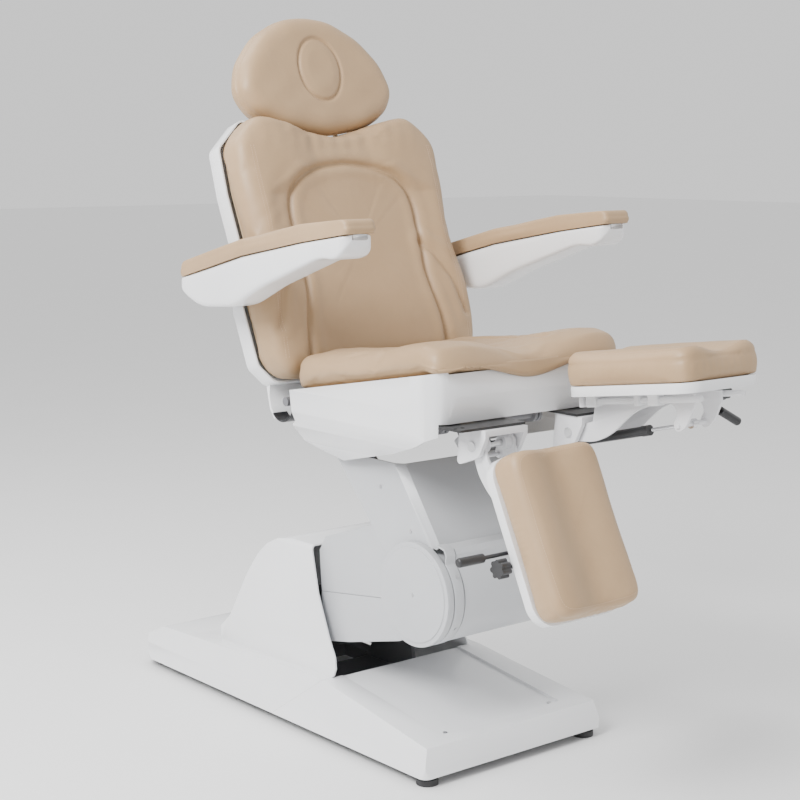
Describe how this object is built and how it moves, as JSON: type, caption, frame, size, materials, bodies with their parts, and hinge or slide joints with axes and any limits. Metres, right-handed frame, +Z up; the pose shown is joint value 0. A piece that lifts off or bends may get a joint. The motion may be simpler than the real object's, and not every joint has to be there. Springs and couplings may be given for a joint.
{
  "type": "facial treatment bed",
  "caption": "Powered treatment bed on a scissor lift with tilting seat, reclining back, swinging armrests, adjustable headrest and split leg rests.",
  "frame": {"origin": "on the floor under the middle of the whole bed at rest", "axes": "+Z up, the sitter faces -Y, +X to the sitter's left"},
  "size_m": [0.79, 1.55, 1.5837],
  "materials": {
    "shell": "satin gloss white moulded plastic",
    "panel": "light grey white painted sheet",
    "upholstery": "soft tan artificial leather",
    "frame": "dark grey powder coat",
    "white_steel": "white powder coat",
    "black_plastic": "matt black moulded plastic",
    "black_steel": "satin black powder coat",
    "chrome": "bright chrome",
    "zinc": "zinc plated",
    "rubber": "black rubber",
    "board": "raw birch plywood"
  },
  "bodies": {
    "base": {"base_frame": "frame", "front_base_cover": "shell", "rear_base_cover": "shell", "levelling_feet": "rubber", "deck_screws": "zinc", "power_inlet": "black_plastic", "lift_motor": "black_plastic"},
    "lift_rod": {"lift_rod": "chrome"},
    "lower_arm": {"lower_arm_frame": "frame", "lower_arm_upper_cover": "panel", "lower_arm_lower_cover": "panel"},
    "upper_arm": {"upper_arm_frame": "frame", "upper_arm_shafts": "zinc", "upper_arm_cover": "panel", "knee_drum": "panel", "knee_bands": "panel", "knee_side_caps": "panel", "arm_cover_screws": "zinc"},
    "seat_carriage": {"carriage_frame": "frame", "tilt_motor": "black_plastic"},
    "tilt_rod": {"tilt_rod": "chrome"},
    "seat": {"seat_frame": "frame", "seat_board": "board", "seat_shell": "shell", "seat_cushion": "upholstery", "leg_mount_plates": "black_steel", "back_motor": "black_plastic"},
    "back_rod": {"back_rod": "chrome"},
    "backrest": {"back_frame": "frame", "back_shell": "shell", "back_board": "board", "back_cushion": "upholstery", "back_hinge_cover": "black_plastic"},
    "headrest_posts": {"headrest_posts": "chrome"},
    "headrest": {"headrest_board": "black_steel", "headrest_cushion": "upholstery"},
    "armrest_left": {"armrest_shell_left": "shell", "armrest_pad_left": "upholstery", "armrest_pivot_left": "zinc"},
    "leg_bracket_left": {"leg_bracket_left": "white_steel", "leg_pivot_pin_left": "chrome"},
    "leg_left": {"leg_arm_left": "white_steel"},
    "leg_tray_left": {"leg_tray_left": "shell", "calf_pad_left": "upholstery"},
    "gas_rod_left": {"gas_rod_left": "chrome"},
    "gas_cylinder_left": {"gas_cylinder_left": "black_steel"},
    "clamp_knob_left": {"clamp_knob_left": "black_plastic"},
    "release_lever_left": {"release_lever_left": "black_plastic"},
    "armrest_right": {"armrest_shell_right": "shell", "armrest_pad_right": "upholstery", "armrest_pivot_right": "zinc"},
    "leg_bracket_right": {"leg_bracket_right": "white_steel", "leg_pivot_pin_right": "chrome"},
    "leg_right": {"leg_arm_right": "white_steel"},
    "leg_tray_right": {"leg_tray_right": "shell", "calf_pad_right": "upholstery"},
    "gas_rod_right": {"gas_rod_right": "chrome"},
    "gas_cylinder_right": {"gas_cylinder_right": "black_steel"},
    "clamp_knob_right": {"clamp_knob_right": "black_plastic"},
    "release_lever_right": {"release_lever_right": "black_plastic"}
  },
  "joints": [
    {"name": "lift", "type": "hinge", "parent": "base", "child": "lower_arm", "pos_m": [0, 0.215, 0.245], "axis": [-1, 0, 0], "range_deg": [-15, 3]},
    {"name": "lift_rod_slide", "type": "slide", "parent": "base", "child": "lift_rod", "axis": [0, -0.983, 0.1834], "range_m": [-0.0215, 0.0045]},
    {"name": "knee", "type": "hinge", "parent": "lower_arm", "child": "upper_arm", "pos_m": [0, -0.225, 0.37], "axis": [-1, 0, 0], "range_deg": [-5.5, 27.1]},
    {"name": "carriage_level", "type": "hinge", "parent": "upper_arm", "child": "seat_carriage", "pos_m": [0, 0.035, 0.68], "axis": [-1, 0, 0], "range_deg": [-12.1, 2.5]},
    {"name": "seat_tilt", "type": "hinge", "parent": "seat_carriage", "child": "seat", "pos_m": [0, -0.245, 0.72], "axis": [-1, 0, 0], "range_deg": [-8, 4]},
    {"name": "tilt_rod_slide", "type": "slide", "parent": "seat_carriage", "child": "tilt_rod", "axis": [0, -0.9891, 0.1476], "range_m": [-0.0032, 0.0063]},
    {"name": "back_recline", "type": "hinge", "parent": "seat", "child": "backrest", "pos_m": [0, 0.14, 0.735], "axis": [-1, 0, 0], "range_deg": [0, 62]},
    {"name": "back_rod_slide", "type": "slide", "parent": "seat", "child": "back_rod", "axis": [0, 1, 0], "range_m": [-0.0502, 0.0004]},
    {"name": "headrest_height", "type": "slide", "parent": "backrest", "child": "headrest_posts", "axis": [0, 0.309, 0.9511], "range_m": [0, 0.08]},
    {"name": "headrest_tilt", "type": "hinge", "parent": "headrest_posts", "child": "headrest", "pos_m": [0, 0.37412, 1.37088], "axis": [-1, 0, 0], "range_deg": [0, 35]},
    {"name": "armrest_left_swing", "type": "hinge", "parent": "backrest", "child": "armrest_left", "pos_m": [0.355, 0.23993, 0.96761], "axis": [-1, 0, 0], "range_deg": [-60, 60]},
    {"name": "leg_left_yaw", "type": "hinge", "parent": "seat", "child": "leg_bracket_left", "pos_m": [0.132, -0.405, 0.705], "axis": [0, 0, 1], "range_deg": [0, 18]},
    {"name": "leg_left_tilt", "type": "hinge", "parent": "leg_bracket_left", "child": "leg_left", "pos_m": [0.132, -0.405, 0.705], "axis": [-1, 0, 0], "range_deg": [-80, 0]},
    {"name": "leg_left_extension", "type": "slide", "parent": "leg_left", "child": "leg_tray_left", "axis": [0, -0.991, 0.134], "range_m": [0, 0.1]},
    {"name": "gas_rod_left_swing", "type": "hinge", "parent": "leg_left", "child": "gas_rod_left", "pos_m": [0.132, -0.68708, 0.75323], "axis": [-1, 0, 0], "range_deg": [-0.3, 6.98]},
    {"name": "gas_cylinder_left_slide", "type": "slide", "parent": "gas_rod_left", "child": "gas_cylinder_left", "axis": [0, 0.9702, -0.2422], "range_m": [-0.05169, 0.0003]},
    {"name": "clamp_knob_left_turn", "type": "hinge", "parent": "leg_tray_left", "child": "clamp_knob_left", "pos_m": [0.272, -0.64642, 0.80021], "axis": [1, 0, 0], "continuous": true},
    {"name": "release_lever_left_pull", "type": "hinge", "parent": "leg_left", "child": "release_lever_left", "pos_m": [0.216, -0.6202, 0.79262], "axis": [0, 0.991, -0.134], "range_deg": [0, 15], "stiffness_Nm_per_rad": 1.5},
    {"name": "armrest_right_swing", "type": "hinge", "parent": "backrest", "child": "armrest_right", "pos_m": [-0.355, 0.23993, 0.96761], "axis": [-1, 0, 0], "range_deg": [-60, 60]},
    {"name": "leg_right_yaw", "type": "hinge", "parent": "seat", "child": "leg_bracket_right", "pos_m": [-0.132, -0.405, 0.705], "axis": [0, 0, -1], "range_deg": [0, 18]},
    {"name": "leg_right_tilt", "type": "hinge", "parent": "leg_bracket_right", "child": "leg_right", "pos_m": [-0.132, -0.405, 0.705], "axis": [-1, 0, 0], "range_deg": [-8.3, 71.7]},
    {"name": "leg_right_extension", "type": "slide", "parent": "leg_right", "child": "leg_tray_right", "axis": [0, -0.4384, -0.8988], "range_m": [0, 0.1]},
    {"name": "gas_rod_right_swing", "type": "hinge", "parent": "leg_right", "child": "gas_rod_right", "pos_m": [-0.132, -0.53936, 0.45233], "axis": [-1, 0, 0], "range_deg": [-4.45, 0.78]},
    {"name": "gas_cylinder_right_slide", "type": "slide", "parent": "gas_rod_right", "child": "gas_cylinder_right", "axis": [0, 0.6099, 0.7925], "range_m": [-0.00639, 0.05291]},
    {"name": "clamp_knob_right_turn", "type": "hinge", "parent": "leg_tray_right", "child": "clamp_knob_right", "pos_m": [-0.272, -0.57119, 0.50568], "axis": [-1, 0, 0], "continuous": true},
    {"name": "release_lever_right_pull", "type": "hinge", "parent": "leg_right", "child": "release_lever_right", "pos_m": [-0.216, -0.55576, 0.5282], "axis": [0, -0.4384, -0.8988], "range_deg": [0, 15], "stiffness_Nm_per_rad": 1.5}
  ],
  "couplings": [
    {"joint": "lift_rod_slide", "follows": "lift", "m_per_rad": 0.079},
    {"joint": "knee", "follows": "lift", "ratio": -1.8},
    {"joint": "carriage_level", "follows": "lift", "ratio": 0.8},
    {"joint": "tilt_rod_slide", "follows": "seat_tilt", "m_per_rad": -0.044},
    {"joint": "back_rod_slide", "follows": "back_recline", "m_per_rad": -0.04569},
    {"joint": "gas_rod_left_swing", "follows": "leg_left_tilt", "ratio": -0.0835},
    {"joint": "gas_cylinder_left_slide", "follows": "leg_left_tilt", "m_per_rad": 0.0368},
    {"joint": "gas_rod_right_swing", "follows": "leg_right_tilt", "ratio": -0.05786},
    {"joint": "gas_cylinder_right_slide", "follows": "leg_right_tilt", "m_per_rad": 0.04204}
  ]
}
